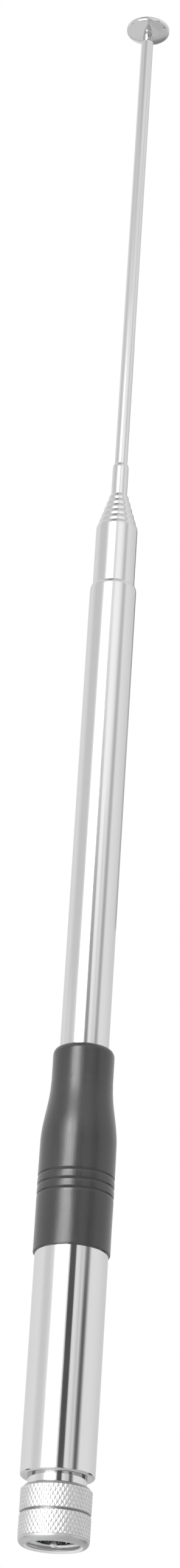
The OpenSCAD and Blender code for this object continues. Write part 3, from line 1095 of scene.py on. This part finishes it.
@dataclass
class Studio:
    """Floor, white surround, soft lamps and the boards round the antenna."""

    floor_drop: float = 0.30
    floor_r: float = 14.0
    floor_sides: int = 64
    floor_fade: tuple[float, float] = (1.2, 5.5)
    floor_greys: tuple[float, float] = (0.84, 0.86)
    surround: float = 0.88

    LAMPS = (
        SoftLamp("soft_lamp", bearing_deg=-36.5, distance=0.75, height=0.32, width=0.71, tall=0.84,
                 tilt_deg=0, radiance=1.4),
        SoftLamp("top_lamp", bearing_deg=-32, distance=0.45, height=0.95, width=0.5, tall=0.4,
                 tilt_deg=60, radiance=1.2),
    )
    BOARDS = (
        # The white streak left of the middle.
        Board("board_key", (-69, -5), (-57, -5), height=(-0.15, 0.52), level=(5.2, 10.0),
              feather=(0.38, 0.16), fade=(0.6, 1.0), distance=(0.75, 0.75), ease=3.0),
        Board("board_key_high", (-57, -5), (-40, 12), height=(0.52, 0.90), level=(10.0, 1.0),
              feather=(0.36, 0.2), fade=(0.0, 0.73), distance=(0.75, 0.75), ease=3.0),
        # The dark streak in the middle, which pales and thins upwards.
        Board("board_centre", (-4, 19), (-5, 16), height=(-0.2, 0.25), level=(0.10, 0.10),
              feather=(0.1, 0.12)),
        Board("board_centre_high", (-5, 16), (-10, 3), height=(0.25, 0.50), level=(0.10, 1.05),
              feather=(0.15, 0.2)),
        # The pale front, high over the camera.
        Board("board_front", (6, 44), (4, 44), height=(0.30, 0.60), level=(1.0, 1.24),
              feather=(0.15, 0.45), fade=(0.0, 0.35), distance=(0.62, 0.62)),
        Board("board_front_high", (-4, 46), (-10, 44), height=(0.60, 0.74), level=(1.28, 0.92),
              feather=(0.1, 0.7), fade=(0.0, 0.9), around=0.94, distance=(0.63, 0.63)),
        Board("board_over", (-62, 12), (-62, 12), height=(0.64, 1.25), level=(0.9, 0.32),
              feather=(0.35, 0.35), fade=(0.0, 0.3), around=0.9, distance=(0.6, 0.12)),
        Board("board_over_wide", (-100, 85), (-100, 85), height=(0.80, 1.3), level=(0.95, 0.66),
              feather=(0.15, 0.15), fade=(0.0, 0.3), distance=(0.66, 0.14)),
        # The grey streak on the right, and the pale side beyond it.
        Board("board_right", (35, 63), (38, 66), height=(-0.2, 0.33), level=(0.16, 0.56),
              feather=(0.38, 0.38), fade=(0.78, 1.0)),
        Board("board_right_high", (38, 66), (46, 80), height=(0.33, 0.9), level=(0.54, 0.8),
              feather=(0.38, 0.38), fade=(0.05, 0.5)),
        Board("board_right_soft", (24, 37), (24, 37), height=(-0.2, 0.42), level=(0.78, 1.0),
              feather=(0.6, 0.02), fade=(0.7, 1.0)),
        Board("board_right_far", (94, 178), (50, 178), height=(0.05, 1.1), level=(0.92, 0.88),
              feather=(0.45, 0.02), fade=(0.0, 0.5)),
        # The dark rim under the button, on the side away from the camera.
        Board("board_behind", (134, 184), (146, 182), height=(0.205, 0.385), level=(0.6, 0.3),
              feather=(0.4, 0.08), fade=(0.3, 0.62), around=0.7, distance=(0.2, 0.2)),
        # The light grey on the left.
        Board("board_left", (-100, -58), (-98, -54), height=(-0.2, 0.34), level=(0.84, 0.8),
              feather=(0.4, 0.3), fade=(0.6, 1.0)),
        Board("board_left_soft", (-120, -54), (-120, -40), height=(0.25, 1.1), level=(0.98, 0.78),
              feather=(0.4, 0.15), fade=(0.0, 0.1), distance=(0.62, 0.62)),
        # Dark corners low at both sides, for the barrel's rounded edge.
        Board("board_low_left", (-120, -92), (-120, -92), height=(-0.29, 0.02), level=(0.25, 0.25),
              feather=(0.25, 0.25), around=0.9, distance=(0.5, 0.5)),
        Board("board_low_right", (100, 138), (100, 138), height=(-0.29, 0.02), level=(0.12, 0.12),
              feather=(0.25, 0.25), around=0.9, distance=(0.5, 0.5)),
        # The floor as bright metal sees it, darker on the right.
        Board("board_floor", (0, 360), (0, 360), height=(-0.27, -0.25), level=(0.79, 0.79),
              feather=(0.01, 0.01), around=0.79, distance=(9.0, 0.001)),
        Board("board_floor_right", (-20, 200), (-20, 200), height=(-0.24, -0.22), level=(0.6, 0.6),
              feather=(0.25, 0.25), around=0.79, distance=(8.0, 0.001)),
    )

    def world(self) -> None:
        """White round everything for the eye and for bright metal, and a pale level for the rest."""
        world = bpy.data.worlds.new("surround")
        world.use_nodes = True
        tree = world.node_tree
        path = tree.nodes.new("ShaderNodeLightPath")
        seen = path.outputs["Is Camera Ray"]
        for ray in ("Is Glossy Ray", "Is Transmission Ray"):
            either = tree.nodes.new("ShaderNodeMath")
            either.operation = "MAXIMUM"
            tree.links.new(seen, either.inputs[0])
            tree.links.new(path.outputs[ray], either.inputs[1])
            seen = either.outputs[0]
        level = tree.nodes.new("ShaderNodeMapRange")
        level.inputs["To Min"].default_value = self.surround
        level.inputs["To Max"].default_value = 1.0
        tree.links.new(seen, level.inputs["Value"])
        background = next(n for n in tree.nodes if n.type == "BACKGROUND")
        background.inputs["Color"].default_value = WHITE
        tree.links.new(level.outputs["Result"], background.inputs["Strength"])
        bpy.context.scene.world = world

    def floor(self, low: Vector) -> None:
        """Lay the round pale floor, which fades into the white surround far away.

        Args:
            low: lowest corner of the antenna.
        """
        s = ShaderSketch("pale_floor", Roughness=0.9, Specular_IOR_Level=0.1, Emission_Color=WHITE)
        far = s.spread(s.axis_distance(), 0.0, 1.0, *self.floor_fade)
        paint = s.blend(s.noise(s.point(), 3), *(grey(level) for level in self.floor_greys))
        s.feed("Base Color", s.blend(far, paint, grey(0.0)))
        s.feed("Emission Strength", s.math("MULTIPLY", far, s.node("LightPath").outputs["Is Camera Ray"]))
        step = 360 / self.floor_sides
        rim = [round_mast(i * step, self.floor_r, low.z - self.floor_drop) for i in range(self.floor_sides)]
        floor = mesh_piece("floor", rim, [tuple(range(self.floor_sides))])
        floor.data.materials.append(s.material)
        floor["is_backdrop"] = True

    def build(self, low: Vector) -> None:
        """Make the whole studio.

        Args:
            low: lowest corner of the antenna.
        """
        bpy.context.scene.view_settings.view_transform = "Standard"
        self.world()
        self.floor(low)
        for piece in (*self.LAMPS, *self.BOARDS):
            piece.build()
        log.info("studio ready: %d boards, floor %.2f m below the plug", len(self.BOARDS), self.floor_drop)


def main() -> None:
    """Build the antenna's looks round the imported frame."""
    logging.basicConfig(level=logging.INFO, format="%(name)s: %(message)s")
    cad_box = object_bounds()
    Studio().build(cad_box[0])
    Viewpoint().build(*cad_box)
    nut = CouplingNut()
    # The nut's painted shade and painted light go into its finish.
    book = FinishBook(nut.painted_shading())
    for node in frame["nodes"]:
        book.dress_node(node)
    nut.build(book)
    ShrinkBoot().build(book)


if __name__ == "__main__":
    main()
